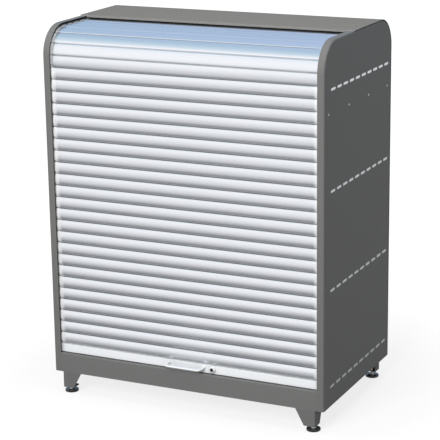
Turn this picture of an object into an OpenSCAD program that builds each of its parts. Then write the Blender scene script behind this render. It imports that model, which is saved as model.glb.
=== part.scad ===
/* [Body] */
// Width over the two side sheets
body_w = 1000; // [700:5:1300]
// Depth from the front rim to the back sheet
body_d = 600; // [480:5:800]
// Height from the underside of the body to the top sheet
body_h = 1200; // [900:5:1900]
// Outer radius of the top corners, front and back
corner_r = 100; // [80:1:110]
// Thickness of the body sheet
sheet = 2; // [1:0.1:3]
// Width of the folded rim round each side
rim_w = 25; // [22:0.5:32]
// Height of the plinth, up to the sill
plinth_h = 68; // [56:1:100]
// Depth of the sill folded back from the plinth
sill_d = 26; // [25:0.5:34]
// Distance from the front rim to the front edge of the top sheet
cover_front = 255; // [210:1:320]
// Height of the lip folded down along that edge
cover_lip = 5; // [3:0.5:6]
// Straight skirt of the top sheet below its rear bend
cover_skirt = 20; // [10:1:60]

/* [Side slots] */
// Distance from slot to slot
slot_pitch = 53; // [46:1:60]
// Length of a slot
slot_l = 38; // [24:1:40]
// Height of a slot
slot_h = 9; // [7:0.5:12]
// Distance from the front rim to the middle of the first slot
slot_first = 74; // [62:1:82]
// Least distance from the middle of the last slot to the back
slot_rear = 46; // [46:1:60]
// Height of the lowest row above the underside
row_first = 67; // [66:1:72]
// Distance from the top row up to the top of the body
row_top = 155; // [135:1:200]
// Distance from the top row down to the line of rivets
rivet_drop = 75; // [60:1:120]
// Distance from the front rim to the first rivet
rivet_front = 35; // [35:1:50]
// Distance from the last rivet to the back
rivet_rear = 40; // [36:1:60]
// Radius of a rivet head
rivet_r = 4; // [3:0.5:5]

/* [Shutter] */
// Distance from hinge line to hinge line of two slats
slat_pitch = 40; // [36:1:44]
// Distance from the front rim back to the hinge line
setback = 17; // [15:0.5:20]
// Radius of the hinge line in the bends
bend_r = 81.5; // [75:0.5:84]
// Distance from the hinge line of the top run up to the top of the body
top_gap = 18.5; // [17:0.5:26]
// Valley of the slat in front of the hinge line
valley = 3.6; // [3.4:0.1:4]
// Crown of the slat in front of the hinge line
crown = 6.4; // [5:0.1:7.5]
// Wall of the slat
slat_wall = 1.3; // [1:0.1:1.5]
// Radius of the bead that the next slat hooks on
bead_r = 1.8; // [1.6:0.1:1.9]
// Slats from the start of the bend to the tail of the curtain
upper_slats = 10; // [8:1:12]
// Height of the bottom rail with its seal
rail_h = 36; // [34:0.5:44]
// Wall of the bottom rail
rail_wall = 1.8; // [1.4:0.1:2.2]
// Thickness of the seal under the rail
seal_h = 3; // [2:0.5:4]

/* [Handle and lock] */
// Height of the handle's screws above the sill
handle_up = 22; // [20:0.5:24]
// Distance between the two screws of the handle
handle_pitch = 128; // [96:1:192]
// Distance from the rail to the middle of the grip
handle_reach = 27; // [26:1:36]
// Diameter of the grip
grip_d = 12; // [9:0.5:13]
// Bending radius of the handle's corners
handle_bend = 14; // [12:1:18]
// Drop of the grip below its feet
handle_drop = 5; // [0:0.5:8]
// Distance of the lock to the right of the middle
lock_x = 100; // [90:1:130]
// Diameter of the lock's barrel
lock_d = 16; // [14:0.5:19]
// Distance that the lock stands out of the rail
lock_out = 9; // [6:0.5:10]
// Stroke of each latch rod
latch_stroke = 6; // [4:0.5:6.5]

/* [Legs and feet] */
// Height from the foot of a leg up to the underside of the body
leg_h = 56; // [50:1:90]
// Width of a leg at the top
leg_top = 70; // [60:1:84]
// Width of a leg at its foot
leg_base = 40; // [36:1:56]
// Distance from the side of the body to a leg
leg_inset = 30; // [20:1:40]
// Sheet of the legs
leg_sheet = 3; // [2:0.5:4]
// Depth of a leg's side wing at the top
wing_top = 62; // [58:1:80]
// Depth of a leg's side wing at its foot
wing_base = 40; // [38:1:58]
// Distance from the front of a leg back to the middle of its foot
foot_in = 28; // [26:1:34]
// Distance from the outer edge of a leg to the middle of its foot
foot_side = 17; // [15:0.5:22]
// Diameter of a levelling foot
foot_d = 47; // [40:1:60]
// Thickness of a levelling foot
foot_t = 9; // [6:1:14]
// Bare thread between foot and leg
thread_gap = 12; // [9:1:16]
// Diameter of the threaded spindle
spindle_d = 10; // [8:1:12]

/* [Inside] */
// Sheet of the trays, rails and liners
liner = 1.5; // [1:0.1:2]
// Height of the upturned edges of the floor pan
pan_up = 46; // [30:1:48]
// Depth of the two shelf trays
tray_depth = 30; // [20:1:45]
// Depth of the spill tray at the bottom
sump_depth = 54; // [40:1:56]
// Width of the ledge of a shelf rail
ledge_w = 25; // [20:1:30]
// Height of the wall of a shelf rail
ledge_h = 18; // [16:1:22]
// Radius of the tube of the balance shaft
shaft_r = 10; // [8:0.5:12]
// Teeth of a balance wheel, one for each hinge line that passes
wheel_teeth = 6; // [5:1:6]
// Distance from the front rim to the balance shaft
shaft_y = 155; // [145:1:200]

/* [Hidden] */
$fn = 64;

// Small gap between pieces that are put together
gap = 0.3;
// Running clearance of the curtain in its guides
run_gap = 0.6;
// Reach of a cut past the piece that it cuts
eps = 1;

side_top = body_h - sheet;
side_back = body_d - sheet;
inner_x = body_w / 2 - sheet;
skirt_z = body_h - corner_r - cover_skirt;

// Side slots and rivets
slot_count = floor((body_d - slot_rear - slot_first) / slot_pitch) + 1;
row_count = 4;
row_pitch = (body_h - row_top - row_first) / (row_count - 1);
rivet_count = 4;
rivet_pitch = (body_d - rivet_front - rivet_rear) / (rivet_count - 1);
rivet_z = body_h - row_top - rivet_drop;

// Plinth, floor pan and the screws of the back
sill_lip = 14;
pan_notch = 20;
screw_r = 2;
back_screw_count = 5;
back_screw_low = 60;
back_screw_high = 50;

foot_z = leg_h + thread_gap + foot_t;
grip_front = handle_reach + grip_d / 2 - (setback - crown);
front_y = grip_front / 2 - body_d / 2;

// Curtain
hook_in = bead_r + gap;
hook_out = hook_in + 1;
neck_w = 1.2;
slat_low = -1.6;
slat_high = slat_pitch - 3.2;
back_wall = hook_out - 0.5;
web_low = hook_out - 0.2;
web_high = slat_pitch - 5.8;
path_top = body_h - top_gap;
bend_z = path_top - bend_r;
rail_pivot = plinth_h + rail_h;
lower_slats = floor((bend_z - rail_pivot) / slat_pitch);
arc_length = bend_r * PI / 2;
tail_w = 18;
tail_t = 4;
chord_dip = bend_r - sqrt(bend_r * bend_r - slat_pitch * slat_pitch / 4);

// Guides
guide_web = 3;
guide_rib = 2;
guide_deep = 17;
side_room = 6;
track_out = crown + run_gap;
track_in = back_wall + chord_dip + run_gap;
slat_end = inner_x - guide_web - side_room;
duct_y = body_d - setback - track_in - guide_rib;

// Bottom rail
rail_front_y = setback - crown;
rail_back_y = setback + track_in - run_gap;
rail_low = plinth_h + seal_h;
rail_top = rail_pivot - 4.4;
cap_t = 4;
rail_end = slat_end - cap_t;
handle_z = plinth_h + handle_up;
lock_z = plinth_h + rail_h / 2;
rod_t = 3;
rod_h = 4;
rod_y = rail_back_y - rail_wall - gap * 2 - rod_t;
rod_z = rail_low + rail_wall + gap * 4;
rod_end = slat_end - 0.5;
pin_r = 1.5;
pin_at = latch_stroke;
cam_r = pin_at + pin_r + 0.5;
cam_t = 2.4;
cam_y = rod_y - gap - cam_t;
rod_start = pin_r + 1.5;
plug_r = lock_d / 2 - 2;
lock_flange = 2;
keyway_t = 1.8;
keyway_h = 8;
strike_h = 26;
strike_side = 2.5;

// Shelves
rail_y0 = slot_first - slot_l / 2 - 6;
rail_y1 = duct_y - liner - gap;
ledge_rise = 6;
roof_z = body_h - row_top + ledge_rise;
ledge_x = inner_x - ledge_w;
tray_x = ledge_x - 1;
tray_y0 = rail_back_y + 12;
tray_y1 = rail_y1 - 2;
roof_lip = 20;
stiffener_y0 = rail_back_y + 8;
stiffener_h = 30;
stiffener_d = 12;

// Balance shaft
wheel_pitch_r = slat_pitch * wheel_teeth / (2 * PI);
shaft_z = path_top - wheel_pitch_r;
wheel_r = wheel_pitch_r - hook_out - 1;
wheel_w = 20;
wheel_notch_r = 7;
shaft_wall = 2;
journal_r = 5;
bracket_w = 40;
bracket_t = 3;
bracket_rise = 14;
bracket_in = guide_deep + 7;
shaft_end = inner_x - bracket_in - gap;
spring_end = shaft_end - 10;
spring_wall = 2.2;

// Legs
leg_x = body_w / 2 - leg_inset;
foot_x = leg_x - foot_side;
nut_h = 8;
nut_r = spindle_d * 0.95;
spindle_end = 18;
spindle_top = leg_sheet + nut_h + spindle_end;
bolt_r = 3;
bolt_head_r = 5.5;
bolt_head_h = 4;
bolt_end = 6;
bolt_x = [22, 50];
bolt_y = 42;

// Draws in the body's own place: y from the front rim, z from the underside
module in_body() {
    translate([0, front_y, foot_z]) children();
}

// Pulls a drawing of y against z out along x
module along_x(x0, x1) {
    translate([x0, 0, 0]) rotate([90, 0, 90]) linear_extrude(x1 - x0) children();
}

// Makes the same piece for the left side
module on_side(left) {
    if (left) mirror([1, 0, 0]) children();
    else children();
}

module block(low, high) {
    translate(low) cube(high - low);
}

// Rectangle of y and z with its two top corners rounded
module arch(y0, y1, z0, z1, front_r, back_r) {
    difference() {
        translate([y0, z0]) square([y1 - y0, z1 - z0]);
        difference() {
            translate([y0 - eps, z1 - front_r]) square([front_r + eps, front_r + eps]);
            translate([y0 + front_r, z1 - front_r]) circle(r = front_r);
        }
        difference() {
            translate([y1 - back_r, z1 - back_r]) square([back_r + eps, back_r + eps]);
            translate([y1 - back_r, z1 - back_r]) circle(r = back_r);
        }
    }
}

module slot_shape(length, height) {
    square([length - height, height], center = true);
    for (end = [-1, 1]) translate([end * (length - height) / 2, 0]) circle(d = height);
}

function row_z(row) = row_first + row * row_pitch;
function slot_y(i) = slot_first + i * slot_pitch;
function rivet_y(i) = rivet_front + i * rivet_pitch;

module side_outline() {
    arch(0, side_back, 0, side_top, corner_r, corner_r - sheet);
}

module side_sheet(left) {
    color([0.33, 0.33, 0.34]) in_body() on_side(left) {
        along_x(inner_x, body_w / 2) difference() {
            side_outline();
            for (row = [0:row_count - 1], i = [0:slot_count - 1])
                translate([slot_y(i), row_z(row)]) slot_shape(slot_l, slot_h);
            for (i = [0:rivet_count - 1])
                translate([rivet_y(i), rivet_z]) circle(r = rivet_r);
        }
        difference() {
            along_x(body_w / 2 - rim_w, inner_x) difference() {
                side_outline();
                arch(sheet, side_back - sheet, -eps, side_top - sheet,
                     corner_r - sheet, corner_r - 2 * sheet);
            }
            if (left) mirror([1, 0, 0]) back_screw_holes();
            else back_screw_holes();
        }
    }
}

module top_cover() {
    color([0.52, 0.52, 0.51]) in_body() {
        along_x(-body_w / 2, body_w / 2) difference() {
            arch(0, body_d, skirt_z, body_h, corner_r, corner_r);
            arch(-eps, side_back, 0, side_top, corner_r, corner_r - sheet);
            square([cover_front, body_h + eps]);
        }
        block([-body_w / 2 + rim_w + gap, cover_front, side_top - cover_lip],
              [body_w / 2 - rim_w - gap, cover_front + sheet, side_top]);
    }
}

module back_panel() {
    color([0.33, 0.33, 0.34]) in_body() difference() {
        block([-body_w / 2, side_back, 0], [body_w / 2, body_d, skirt_z - gap]);
        back_screw_holes();
    }
}

function back_screw_z(i) =
    back_screw_low + i * (skirt_z - back_screw_low - back_screw_high) / (back_screw_count - 1);

module back_screw_places() {
    for (side = [-1, 1], i = [0:back_screw_count - 1])
        translate([side * (body_w / 2 - rim_w / 2 - sheet / 2), body_d, back_screw_z(i)])
            rotate([90, 0, 0]) children();
}

module back_screw_holes() {
    back_screw_places() {
        translate([0, 0, -eps]) cylinder(r = screw_r, h = 3 * sheet);
        cylinder(r1 = 2 * screw_r, r2 = screw_r, h = screw_r);
    }
}

module back_screws() {
    color([0.6, 0.6, 0.6]) in_body() back_screw_places() {
        cylinder(r1 = 2 * screw_r - gap, r2 = screw_r - gap, h = screw_r);
        cylinder(r = screw_r - gap, h = 3 * sheet);
    }
}

module plinth_panel() {
    sill_x = body_w / 2 - rim_w;
    color([0.44, 0.44, 0.44]) in_body() {
        block([-sill_x, 0, 0], [sill_x, sheet, plinth_h]);
        block([-sill_x, 0, plinth_h - sheet], [sill_x, sill_d, plinth_h]);
        block([-sill_x, sill_d - sheet, plinth_h - sill_lip], [sill_x, sill_d, plinth_h]);
    }
}

module floor_pan() {
    pan_y1 = side_back - sheet;
    wing_y1 = duct_y - liner - gap;
    end_x = inner_x - rim_w;
    color([0.4, 0.4, 0.41]) in_body() difference() {
        union() {
            block([-inner_x, sheet, 0], [inner_x, pan_y1, sheet]);
            for (left = [false, true]) on_side(left)
                block([inner_x - sheet, sheet + pan_notch, 0], [inner_x, wing_y1, pan_up]);
            block([-end_x, pan_y1 - sheet, 0], [end_x, pan_y1, pan_up]);
            block([-end_x, sheet, 0], [end_x, 2 * sheet, pan_up]);
        }
        leg_bolt_places() cylinder(r = bolt_r, h = 4 * sheet, center = true);
    }
}

module inner_back() {
    color([0.7, 0.71, 0.72]) in_body()
        block([-inner_x + gap, duct_y - liner, sheet + gap], [inner_x - gap, duct_y, roof_z]);
}

module inner_roof() {
    x1 = inner_x - gap;
    color([0.7, 0.71, 0.72]) in_body() {
        block([-x1, tray_y0, roof_z], [x1, duct_y, roof_z + liner]);
        block([-x1, tray_y0, roof_z], [x1, tray_y0 + liner, roof_z + roof_lip]);
        block([-x1, duct_y - liner, roof_z], [x1, duct_y, roof_z + roof_lip]);
    }
}

// Open tray whose two side flanges lie on the ledges of the shelf rails
module tray(z_ledge, depth) {
    x1 = inner_x - sheet - gap;
    color([0.7, 0.71, 0.72]) in_body() difference() {
        union() {
            block([-tray_x, tray_y0, z_ledge - depth], [tray_x, tray_y1, z_ledge + liner]);
            block([-x1, rail_y0, z_ledge], [x1, tray_y1, z_ledge + liner]);
        }
        block([-tray_x + liner, tray_y0 + liner, z_ledge - depth + liner],
              [tray_x - liner, tray_y1 - liner, z_ledge + liner + eps]);
    }
}

module shelf_rail(row, left) {
    z1 = row_z(row) + ledge_rise;
    lug_out = body_w / 2 - gap;
    color([0.82, 0.83, 0.84]) in_body() on_side(left) {
        block([inner_x - liner, rail_y0, z1 - ledge_h], [inner_x, rail_y1, z1]);
        block([ledge_x, rail_y0, z1 - liner], [inner_x, rail_y1, z1]);
        for (i = [0:slot_count - 1])
            along_x(inner_x - liner / 2, lug_out)
                translate([slot_y(i), row_z(row)]) slot_shape(slot_l - 2 * gap, slot_h - 2 * gap);
    }
}

module stiffener(left) {
    z0 = rivet_z - stiffener_h / 2;
    z1 = rivet_z + stiffener_h / 2;
    color([0.7, 0.71, 0.72]) in_body() on_side(left) difference() {
        block([inner_x - stiffener_d, stiffener_y0, z0], [inner_x, rail_y1, z1]);
        block([inner_x - stiffener_d - eps, stiffener_y0 - eps, z0 + sheet],
              [inner_x - sheet, rail_y1 + eps, z1 - sheet]);
        for (i = [0:rivet_count - 1])
            translate([inner_x, rivet_y(i), rivet_z]) rotate([0, 90, 0])
                cylinder(r = rivet_r / 2, h = 4 * sheet, center = true);
    }
}

module side_rivets() {
    color([0.75, 0.75, 0.75]) in_body()
        for (left = [false, true], i = [0:rivet_count - 1]) on_side(left)
            translate([body_w / 2, rivet_y(i), rivet_z]) rotate([0, -90, 0]) {
                cylinder(r = rivet_r - gap / 2, h = sheet);
                cylinder(r = rivet_r / 2 - gap / 2, h = 2 * sheet + 1);
                translate([0, 0, 2 * sheet]) cylinder(r = rivet_r * 0.8, h = 1.2);
            }
}

// Band of the guide path between two distances from the hinge line
module path_band(d_in, d_out) {
    difference() {
        arch(setback - d_out, body_d - setback + d_out, plinth_h, path_top + d_out,
             bend_r + d_out, bend_r + d_out);
        arch(setback + d_in, body_d - setback - d_in, 0, path_top - d_in,
             bend_r - d_in, bend_r - d_in);
    }
}

module guide(left) {
    color([0.2, 0.2, 0.21]) in_body() on_side(left) {
        along_x(inner_x - guide_web, inner_x)
            path_band(track_in + guide_rib, track_out + guide_rib);
        along_x(inner_x - guide_web - guide_deep, inner_x - guide_web / 2) {
            path_band(-track_out, track_out + guide_rib);
            path_band(track_in + guide_rib, -track_in);
        }
    }
}

// Keeper on the web of the guide, with a tongue over the end of the latch rod
module strike(left) {
    web_x = inner_x - guide_web;
    y0 = rod_y - strike_side;
    y1 = rod_y + rod_t + strike_side;
    z0 = rod_z + rod_h + 1;
    color([0.6, 0.6, 0.6]) in_body() on_side(left) difference() {
        union() {
            block([web_x - sheet, y0, z0], [web_x, y1, z0 + strike_h]);
            block([slat_end + gap, y0, z0], [web_x, y1, z0 + sheet]);
        }
        for (share = [0.35, 0.75]) translate([web_x, (y0 + y1) / 2, z0 + share * strike_h])
            rotate([0, -90, 0]) cylinder(r = pin_r, h = 3 * sheet, center = true);
    }
}

// Section of a slat, with its lower hinge line at the origin and its front to the left
module slat_section() {
    mid = (slat_low + slat_high) / 2;
    half = (slat_high - slat_low) / 2;
    bow = crown - valley;
    front_r = (half * half + bow * bow) / (2 * bow);
    open_from = -122;
    open_to = -32;
    intersection() {
        translate([front_r - crown, mid]) difference() {
            circle(r = front_r, $fn = 180);
            circle(r = front_r - slat_wall, $fn = 180);
        }
        translate([-crown - eps, slat_low]) square([crown, slat_high - slat_low]);
    }
    intersection() {
        difference() {
            translate([-crown - eps, web_low]) square([crown + eps + back_wall, web_high - web_low]);
            translate([-crown - eps, web_low + slat_wall])
                square([crown + eps + back_wall - slat_wall, web_high - web_low - 2 * slat_wall]);
        }
        translate([front_r - crown - slat_wall / 2, mid]) circle(r = front_r, $fn = 180);
    }
    difference() {
        circle(r = hook_out);
        circle(r = hook_in);
        polygon([[0, 0], for (a = [open_from, (open_from + open_to) / 2, open_to])
            2 * hook_out * [cos(a), sin(a)]]);
    }
    translate([-neck_w / 2, web_high - slat_wall]) square([neck_w, slat_pitch - web_high + slat_wall]);
    translate([0, slat_pitch]) circle(r = bead_r);
}

// Point of the hinge line's path at a distance s past the start of the front bend
function path_at(s) =
    s < 0 ? [setback, bend_z + s]
    : s < arc_length ? [setback + bend_r * (1 - cos(s / bend_r * 180 / PI)),
                        bend_z + bend_r * sin(s / bend_r * 180 / PI)]
    : [setback + bend_r + s - arc_length, path_top];

// Next hinge line, a straight pitch away from the one at s
function step_on(s, next, tries) =
    tries == 0 ? next
    : step_on(s, next + slat_pitch - norm(path_at(next) - path_at(s)), tries - 1);
function hinge_s(k) = k == 0 ? rail_pivot + lower_slats * slat_pitch - bend_z
    : step_on(hinge_s(k - 1), hinge_s(k - 1) + slat_pitch, 12);

module slat_between(a, b) {
    turn = atan2(b[1] - a[1], b[0] - a[0]) - 90;
    along_x(-slat_end, slat_end) translate(a) rotate(turn) slat_section();
}

module upper_slats_set() {
    color([0.75, 0.8, 0.88]) in_body()
        for (k = [0:upper_slats - 1]) slat_between(path_at(hinge_s(k)), path_at(hinge_s(k + 1)));
}

module lower_slats_set() {
    color([0.85, 0.87, 0.9]) in_body()
        for (k = [0:lower_slats - 1])
            slat_between([setback, rail_pivot + k * slat_pitch],
                         [setback, rail_pivot + (k + 1) * slat_pitch]);
}

module tail_bar() {
    tail = path_at(hinge_s(upper_slats));
    color([0.6, 0.62, 0.65]) in_body() along_x(-slat_end, slat_end) translate(tail) {
        difference() {
            circle(r = hook_out);
            circle(r = hook_in);
            polygon([[0, 0], for (a = [150, 195, 240]) 2 * hook_out * [cos(a), sin(a)]]);
        }
        translate([hook_in + 0.1, -tail_t / 2]) square([tail_w, tail_t]);
    }
}

module balance_bracket(left) {
    color([0.7, 0.71, 0.72]) in_body() on_side(left) difference() {
        difference() {
            block([inner_x - bracket_in, shaft_y - bracket_w / 2, shaft_z - bracket_w / 2],
                  [inner_x, shaft_y + bracket_w / 2, shaft_z + bracket_rise]);
            block([inner_x - bracket_in + bracket_t, shaft_y - bracket_w,
                   shaft_z - bracket_w / 2 + bracket_t],
                  [inner_x - bracket_t, shaft_y + bracket_w, shaft_z + bracket_rise + eps]);
        }
        translate([inner_x, shaft_y, shaft_z]) rotate([0, -90, 0])
            cylinder(r = journal_r + gap / 2, h = bracket_in + eps);
    }
}

module balance_shaft() {
    color([0.6, 0.62, 0.65]) in_body() translate([0, shaft_y, shaft_z]) rotate([0, 90, 0]) difference() {
        union() {
            cylinder(r = shaft_r, h = 2 * shaft_end, center = true);
            cylinder(r = journal_r, h = 2 * (inner_x - bracket_t - gap), center = true);
        }
        cylinder(r = shaft_r - shaft_wall, h = 2 * spring_end, center = true);
    }
}

module balance_wheels() {
    color([0.15, 0.15, 0.16]) in_body()
        for (side = [-1, 1])
            translate([side * (shaft_end - 2 * wheel_w), shaft_y, shaft_z]) rotate([0, 90, 0])
                difference() {
                    cylinder(r = wheel_r, h = wheel_w, center = true);
                    cylinder(r = shaft_r, h = wheel_w + eps, center = true);
                    for (i = [0:wheel_teeth - 1])
                        rotate(i * 360 / wheel_teeth) translate([wheel_r + 2, 0, 0])
                            cylinder(r = wheel_notch_r, h = wheel_w + eps, center = true);
                }
}

module balance_spring() {
    color([0.5, 0.5, 0.52]) in_body() translate([0, shaft_y, shaft_z]) rotate([0, 90, 0]) difference() {
        cylinder(r = shaft_r - shaft_wall - gap, h = 2 * spring_end, center = true);
        cylinder(r = shaft_r - shaft_wall - gap - spring_wall, h = 2 * shaft_end, center = true);
    }
}

// Places a drawing for the front right corner at any of the four corners
module at_corner(left, rear) {
    translate([0, rear ? body_d : 0, 0]) mirror([0, rear ? 1 : 0, 0]) on_side(left) children();
}

module leg_bolt_places() {
    for (left = [false, true], rear = [false, true], x = bolt_x)
        at_corner(left, rear) translate([leg_x - x, bolt_y, 0]) children();
}

module leg(left, rear) {
    plate = [[leg_x, 0], [leg_x, -leg_h], [leg_x - leg_base, -leg_h], [leg_x - leg_top, 0]];
    wing = [[0, 0], [0, -leg_h], [wing_base, -leg_h], [wing_top, 0]];
    color([0.42, 0.42, 0.42]) in_body() difference() {
        at_corner(left, rear) difference() {
            union() {
                translate([0, leg_sheet, 0]) rotate([90, 0, 0]) linear_extrude(leg_sheet) polygon(plate);
                along_x(leg_x - leg_sheet, leg_x) polygon(wing);
                block([leg_x - leg_base, 0, -leg_h], [leg_x, wing_base, -leg_h + leg_sheet]);
                block([leg_x - leg_top, 0, -leg_sheet], [leg_x, wing_top, 0]);
            }
            translate([foot_x, foot_in, -leg_h]) cylinder(d = spindle_d + 1, h = 3 * leg_sheet, center = true);
        }
        leg_bolt_places() cylinder(r = bolt_r, h = 4 * leg_sheet, center = true);
    }
}

module leg_nuts() {
    color([0.65, 0.65, 0.65]) in_body()
        for (left = [false, true], rear = [false, true])
            at_corner(left, rear) translate([foot_x, foot_in, -leg_h + leg_sheet]) difference() {
                cylinder(r = nut_r, h = nut_h, $fn = 6);
                translate([0, 0, -eps]) cylinder(d = spindle_d + 2 * gap, h = nut_h + 2 * eps);
            }
}

module leg_bolts() {
    color([0.6, 0.6, 0.6]) in_body() leg_bolt_places() {
        translate([0, 0, -leg_sheet - bolt_head_h]) {
            cylinder(r = bolt_head_r, h = bolt_head_h, $fn = 6);
            cylinder(r = bolt_r - gap / 2, h = bolt_head_h + leg_sheet + sheet + bolt_end);
        }
    }
}

module foot_pad(left, rear) {
    edge = 1.5;
    color([0.08, 0.08, 0.08]) in_body() at_corner(left, rear)
        translate([foot_x, foot_in, -foot_z]) difference() {
            rotate_extrude() union() {
                square([foot_d / 2 - edge, foot_t - edge]);
                translate([0, edge]) square([foot_d / 2, foot_t - 3 * edge]);
                square([foot_d / 3, foot_t]);
            }
            translate([0, 0, foot_t / 2]) cylinder(d = spindle_d, h = foot_t);
        }
}

module spindle(left, rear) {
    color([0.7, 0.7, 0.7]) in_body() at_corner(left, rear)
        translate([foot_x, foot_in, -foot_z + foot_t / 2])
            cylinder(d = spindle_d, h = foot_t / 2 + thread_gap + spindle_top);
}

module bottom_rail() {
    color([0.72, 0.73, 0.75]) in_body() difference() {
        union() {
            along_x(-rail_end, rail_end) {
                difference() {
                    translate([rail_front_y, rail_low])
                        square([rail_back_y - rail_front_y, rail_top - rail_low]);
                    translate([rail_front_y + rail_wall, rail_low + rail_wall])
                        square([rail_back_y - rail_front_y - 2 * rail_wall,
                                rail_top - rail_low - 2 * rail_wall]);
                }
                translate([setback - neck_w / 2, rail_top - rail_wall])
                    square([neck_w, rail_pivot - rail_top + rail_wall]);
                translate([setback, rail_pivot]) circle(r = bead_r);
            }
        }
        translate([lock_x, 0, lock_z]) rotate([-90, 0, 0]) cylinder(d = lock_d, h = setback);
        for (side = [-1, 1]) translate([side * handle_pitch / 2, 0, handle_z]) rotate([-90, 0, 0])
            cylinder(r = screw_r + 0.2, h = 2 * setback);
    }
}

module rail_seal() {
    color([0.05, 0.05, 0.05]) in_body()
        block([-rail_end, rail_front_y + 2, plinth_h + gap], [rail_end, rail_back_y - 2, rail_low]);
}

module rail_cap(left) {
    color([0.1, 0.1, 0.1]) in_body() on_side(left) difference() {
        block([rail_end, rail_front_y, rail_low], [slat_end, rail_back_y, rail_top]);
        block([rail_end - eps, rod_y - gap, rod_z - gap],
              [slat_end + eps, rod_y + rod_t + gap, rod_z + rod_h + gap]);
    }
}

module quarter_bend() {
    rotate_extrude(angle = 90) translate([handle_bend, 0]) circle(d = grip_d);
}

// Bow of round bar; its feet stand on the rail and its grip hangs a little lower
module handle() {
    half = handle_pitch / 2;
    lean = asin(handle_drop / handle_reach);
    reach = handle_reach / cos(lean);
    straight = reach - handle_bend;
    foot_w = grip_d / 2 + 1;
    color([0.9, 0.9, 0.92]) in_body() difference() {
        union() {
            translate([0, rail_front_y, handle_z]) rotate([lean, 0, 0]) {
                for (left = [false, true]) on_side(left) {
                    translate([half, 2, 0]) rotate([90, 0, 0]) cylinder(d = grip_d, h = straight + 2);
                    translate([half - handle_bend, -straight, 0]) rotate([0, 0, -90])
                        quarter_bend();
                }
                translate([0, -reach, 0]) rotate([0, 90, 0])
                    cylinder(d = grip_d, h = 2 * (half - handle_bend), center = true);
            }
            for (side = [-1, 1]) translate([side * half, rail_front_y, handle_z]) rotate([90, 0, 0])
                cylinder(r = foot_w, h = 3);
        }
        block([-half - grip_d, rail_front_y, handle_z - grip_d], [half + grip_d, rail_front_y + 2 * grip_d,
               handle_z + grip_d]);
        for (side = [-1, 1]) translate([side * half, rail_front_y + 1, handle_z]) rotate([90, 0, 0])
            cylinder(r = screw_r, h = 12);
    }
}

module handle_screws() {
    color([0.6, 0.6, 0.6]) in_body()
        for (side = [-1, 1]) translate([side * handle_pitch / 2, rail_back_y, handle_z])
            rotate([90, 0, 0]) {
                cylinder(r = screw_r - 0.1, h = rail_back_y - rail_front_y + 8);
                translate([0, 0, -0.5]) cylinder(r = 3.5, h = 0.5);
            }
}

module lock_housing() {
    front = rail_front_y - lock_out;
    color([0.85, 0.85, 0.86]) in_body() translate([lock_x, 0, lock_z]) difference() {
        union() {
            translate([0, front, 0]) rotate([-90, 0, 0])
                cylinder(d = lock_d - gap, h = cam_y - gap - front);
            translate([0, front + 1, 0]) rotate([-90, 0, 0])
                cylinder(d = lock_d + 2 * lock_flange, h = lock_out - 1);
        }
        translate([0, front - eps, 0]) rotate([-90, 0, 0])
            cylinder(r = plug_r, h = setback + lock_out + 2 * eps);
    }
}

module lock_plug() {
    front = rail_front_y - lock_out + 0.5;
    color([0.7, 0.7, 0.7]) in_body() translate([lock_x, 0, lock_z]) difference() {
        translate([0, front, 0]) rotate([-90, 0, 0])
            cylinder(r = plug_r - gap / 2, h = cam_y - front);
        block([-keyway_t / 2, front - eps, -keyway_h / 2], [keyway_t / 2, front + 6, keyway_h / 2]);
    }
}

module lock_cam() {
    color([0.6, 0.6, 0.6]) in_body() translate([lock_x, 0, lock_z]) rotate([-90, 0, 0]) {
        translate([0, 0, cam_y]) cylinder(r = cam_r, h = cam_t);
        for (side = [-1, 1]) translate([0, side * pin_at, cam_y]) cylinder(r = pin_r, h = cam_t + rod_t);
    }
}

// Flat rod in the rail; its upturned end stands beside the cam's pin
module latch_rod(left) {
    side = left ? -1 : 1;
    start = lock_x + side * rod_start;
    stop = side * rod_end;
    end_top = lock_z + pin_r + (left ? 0.5 : pin_at);
    color([0.65, 0.65, 0.66]) in_body() {
        block([min(start, stop), rod_y + gap, rod_z], [max(start, stop), rod_y + rod_t, rod_z + rod_h]);
        block([min(start, start + side * 4), rod_y + gap, rod_z],
              [max(start, start + side * rod_h), rod_y + rod_t, end_top]);
    }
}

side_sheet(true);  // side_left
side_sheet(false);  // side_right
top_cover();
back_panel();
plinth_panel();
floor_pan();
inner_back();
inner_roof();
tray(row_z(0) + ledge_rise, sump_depth);  // sump_tray
tray(row_z(1) + ledge_rise, tray_depth);  // shelf_lower
tray(row_z(2) + ledge_rise, tray_depth);  // shelf_upper
shelf_rail(0, true);  // shelf_rail_left_1
shelf_rail(1, true);  // shelf_rail_left_2
shelf_rail(2, true);  // shelf_rail_left_3
shelf_rail(3, true);  // shelf_rail_left_4
shelf_rail(0, false);  // shelf_rail_right_1
shelf_rail(1, false);  // shelf_rail_right_2
shelf_rail(2, false);  // shelf_rail_right_3
shelf_rail(3, false);  // shelf_rail_right_4
stiffener(true);  // stiffener_left
stiffener(false);  // stiffener_right
side_rivets();
back_screws();
guide(true);  // guide_left
guide(false);  // guide_right
strike(true);  // strike_left
strike(false);  // strike_right
upper_slats_set();
tail_bar();
balance_bracket(true);  // balance_bracket_left
balance_bracket(false);  // balance_bracket_right
leg(true, false);  // leg_front_left
leg(false, false);  // leg_front_right
leg(true, true);  // leg_rear_left
leg(false, true);  // leg_rear_right
leg_nuts();
leg_bolts();
bottom_rail();
rail_seal();
rail_cap(true);  // rail_cap_left
rail_cap(false);  // rail_cap_right
lower_slats_set();
handle();
handle_screws();
lock_housing();
lock_plug();
lock_cam();
latch_rod(true);  // latch_rod_left
latch_rod(false);  // latch_rod_right
balance_shaft();
balance_wheels();
balance_spring();
foot_pad(true, false);  // foot_pad_front_left
foot_pad(false, false);  // foot_pad_front_right
foot_pad(true, true);  // foot_pad_rear_left
foot_pad(false, true);  // foot_pad_rear_right
spindle(true, false);  // spindle_front_left
spindle(false, false);  // spindle_front_right
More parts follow.
